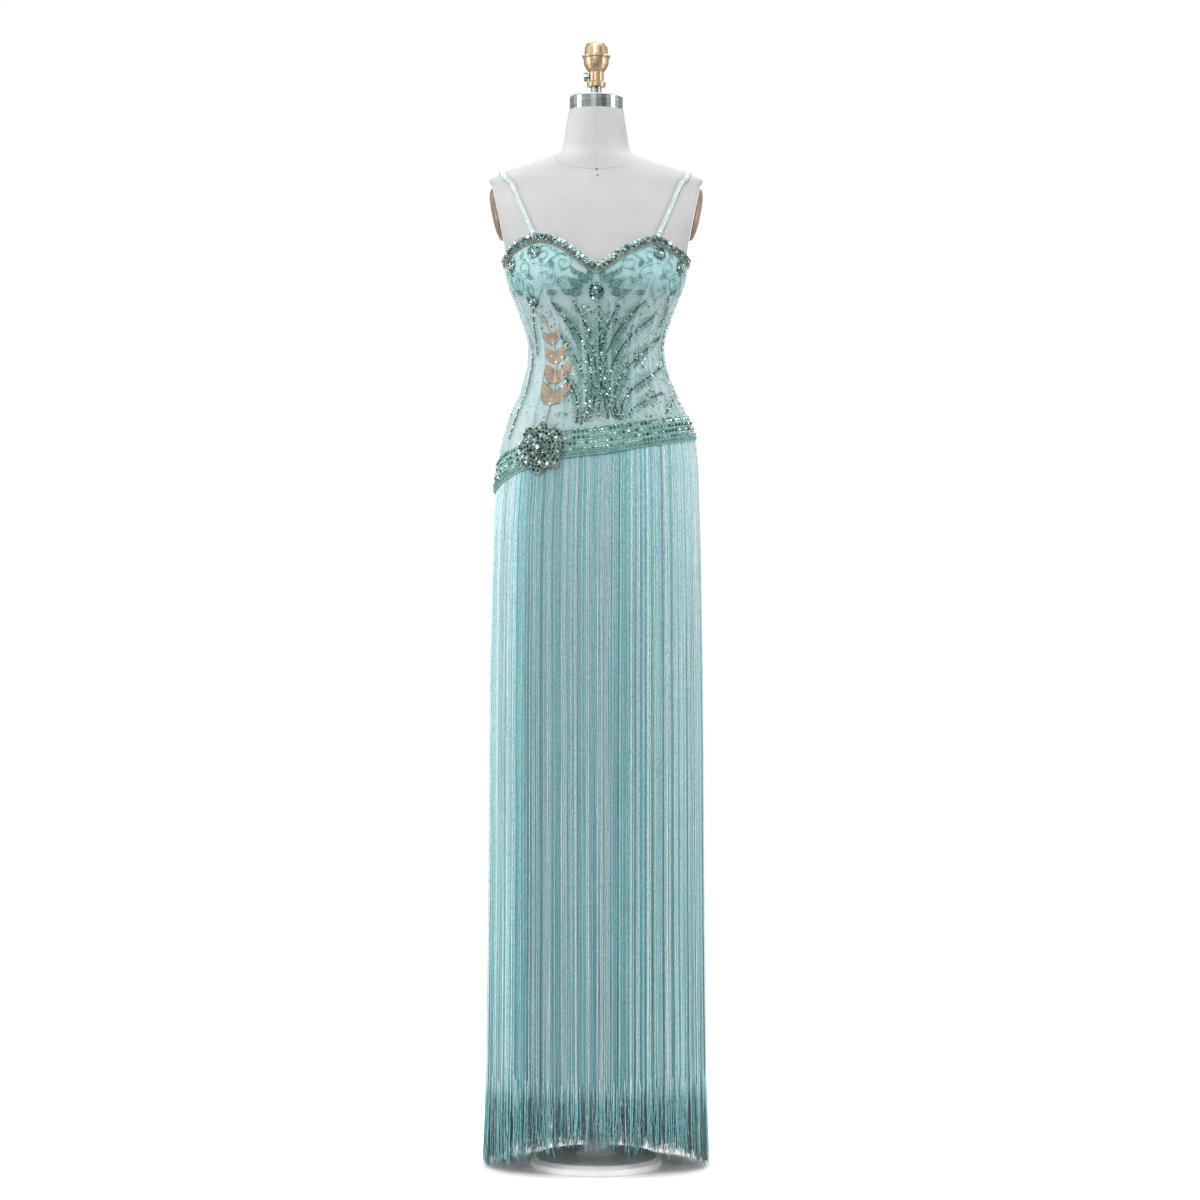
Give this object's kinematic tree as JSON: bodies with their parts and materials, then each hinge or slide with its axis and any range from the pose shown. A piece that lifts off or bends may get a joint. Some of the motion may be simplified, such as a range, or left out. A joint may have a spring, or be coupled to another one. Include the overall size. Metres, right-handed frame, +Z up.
{
  "type": "fringed column evening gown on limbless dress form",
  "caption": "Floor-length column gown with thin straps, sweetheart beaded bodice, slanted hip band and full-length fringe over a slip, on a limbless dress form",
  "frame": {"origin": "on the floor, at the middle of the underside of the form's foot plate, under its pole", "axes": "+Z up along the pole, -Y the way the gown's front faces, +X to the right of someone looking at the front"},
  "size_m": [0.3539, 0.265, 1.7983],
  "materials": {
    "form_linen": "taut off-white linen cover over a hard shell",
    "arm_plate": "satin tan-brown varnish",
    "enamel": "plain white enamel",
    "steel": "brushed",
    "brass": "satin, lightly aged",
    "net": "fine sheer net with a sparse sheen",
    "cup_satin": "matt satin under net",
    "casing": "soft satin tape over bones",
    "beadwork": "net thickly sewn with glass beads and cut stones",
    "stones": "cut glass stones and beads, bright",
    "slip_satin": "smooth satin",
    "fringe": "lustrous twisted yarn"
  },
  "bodies": {
    "gown_on_form": {"form_torso": "form_linen", "arm_plate_left": "arm_plate", "arm_plate_right": "arm_plate", "foot_plate": "enamel", "stand_pole": "steel", "neck_cap": "steel", "pole_top": "steel", "finial": "brass", "bodice_back_left": "net", "bodice_side_back_left": "net", "bodice_side_front_left": "net", "bodice_centre_front": "net", "bodice_side_front_right": "net", "bodice_side_back_right": "net", "bodice_back_right": "net", "cup_left": "cup_satin", "cup_right": "cup_satin", "casing_centre_left": "casing", "casing_centre_right": "casing", "casing_princess_left": "casing", "casing_princess_right": "casing", "casing_side_front_left": "casing", "casing_side_front_right": "casing", "casing_side_left": "casing", "casing_side_right": "casing", "neckline_trim_back_left": "beadwork", "neckline_trim_front_left": "beadwork", "neckline_trim_front_right": "beadwork", "neckline_trim_back_right": "beadwork", "hip_band_back_left": "beadwork", "hip_band_front": "beadwork", "hip_band_back_right": "beadwork", "strap_left": "beadwork", "strap_right": "beadwork", "rosette_left_cup": "stones", "rosette_right_cup": "stones", "rosette_left_side": "stones", "rosette_right_side": "stones", "rosette_centre": "stones", "rosette_left_waist": "stones", "rosette_hip": "stones", "slip_back_left": "slip_satin", "slip_front": "slip_satin", "slip_back_right": "slip_satin", "fringe_back_left": "fringe", "fringe_front": "fringe", "fringe_back_right": "fringe"},
    "screw": {"thumb_screw": "steel"}
  },
  "joints": [
    {"name": "thumb_screw_turn", "type": "hinge", "parent": "gown_on_form", "child": "screw", "pos_m": [-0.0161, 0, 1.7405], "axis": [-1, 0, 0], "continuous": true}
  ]
}
